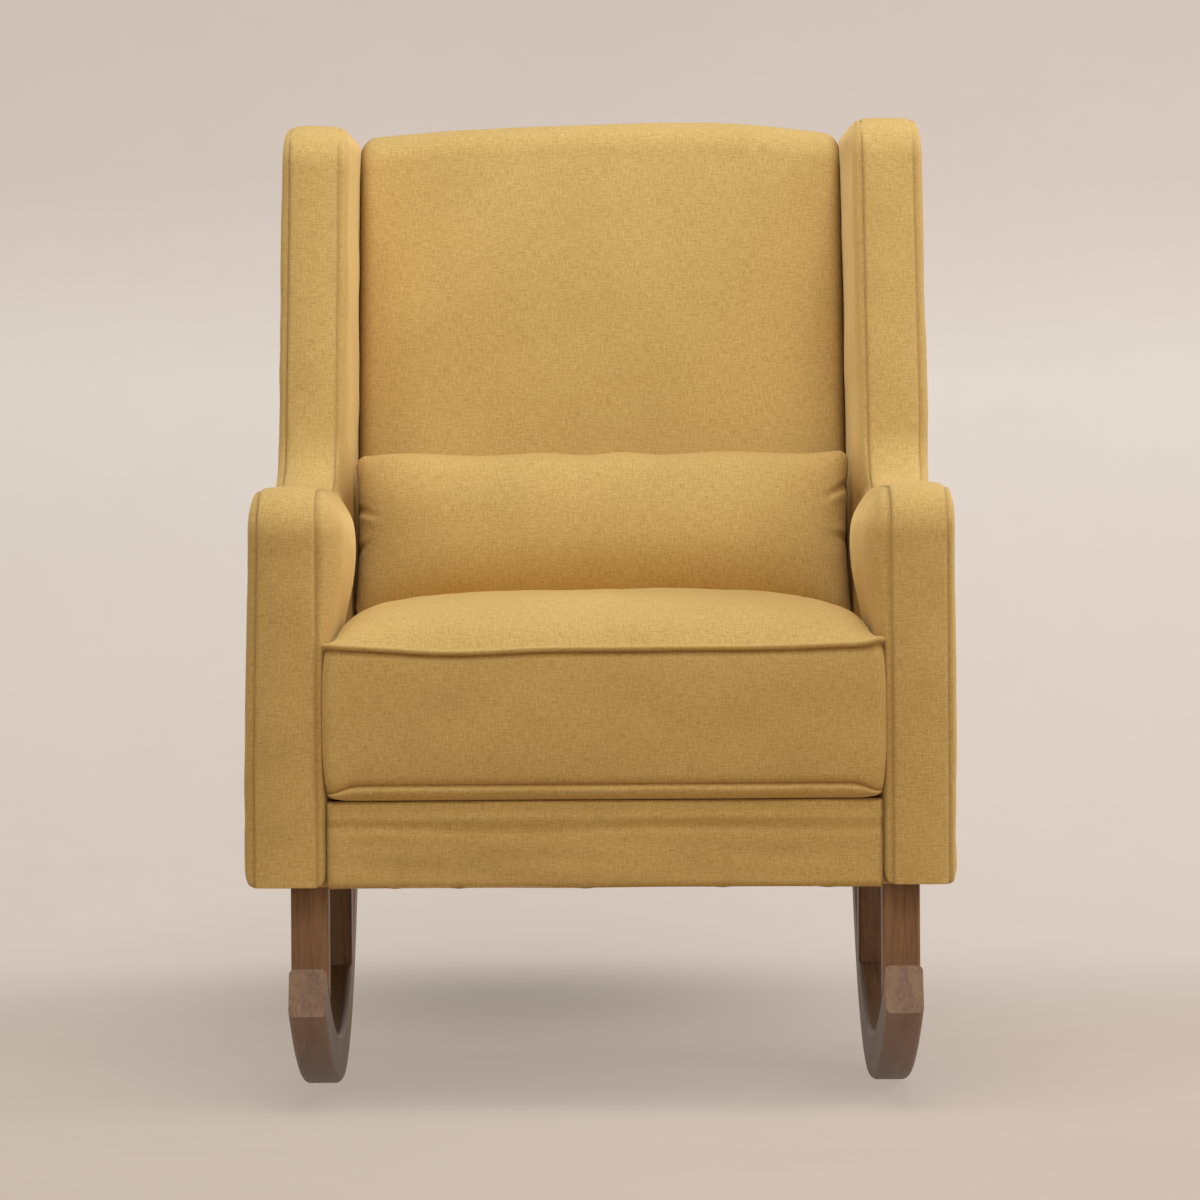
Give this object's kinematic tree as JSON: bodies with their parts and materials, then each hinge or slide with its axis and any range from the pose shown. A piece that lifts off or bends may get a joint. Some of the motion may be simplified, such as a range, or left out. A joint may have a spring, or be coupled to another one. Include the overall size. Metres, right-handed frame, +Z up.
{
  "type": "upholstered rocking chair",
  "caption": "Upholstered wing rocking chair with slab arms, a boxed seat cushion and a lumbar pillow, on curved wooden rockers.",
  "frame": {"origin": "on the floor, at the middle of the base's width and length", "axes": "+X to the right as seen from in front, +Y from the front to the back, +Z up; the chair faces -Y"},
  "size_m": [0.7242, 0.88, 1.0522],
  "materials": {
    "walnut": "satin",
    "frame_wood": "matte",
    "dowel_wood": "matte",
    "bolt_steel": "satin",
    "spring_steel": "satin",
    "webbing": "matte",
    "deck_felt": "matte",
    "cambric": "matte",
    "upholstery": "matte"
  },
  "bodies": {
    "chair": {"rocker_left": "walnut", "rocker_right": "walnut", "front_leg_left": "walnut", "front_leg_right": "walnut", "rear_leg_left": "walnut", "rear_leg_right": "walnut", "leg_dowels": "dowel_wood", "leg_bolts": "bolt_steel", "front_rail": "frame_wood", "rear_rail": "frame_wood", "side_rail_left": "frame_wood", "side_rail_right": "frame_wood", "corner_blocks": "frame_wood", "rail_dowels": "dowel_wood", "side_frame_left": "frame_wood", "side_frame_right": "frame_wood", "back_post_left": "frame_wood", "back_post_right": "frame_wood", "back_top_rail": "frame_wood", "back_middle_rail": "frame_wood", "back_lower_rail": "frame_wood", "back_webbing": "webbing", "seat_springs": "spring_steel", "spring_clips": "spring_steel", "deck_pad": "deck_felt", "dust_cover": "cambric", "front_apron": "upholstery", "side_cover_left": "upholstery", "side_cover_right": "upholstery", "inside_back": "upholstery", "outside_back": "upholstery"},
    "seat_cushion": {"seat_cushion": "upholstery"},
    "lumbar_pillow": {"lumbar_pillow": "upholstery"}
  },
  "joints": [
    {"name": "seat_cushion_draw", "type": "slide", "parent": "chair", "child": "seat_cushion", "axis": [0, -1, 0], "range_m": [0, 0.62]},
    {"name": "lumbar_pillow_lift", "type": "slide", "parent": "chair", "child": "lumbar_pillow", "axis": [0, -0.342, 0.9397], "range_m": [0, 0.65]}
  ]
}
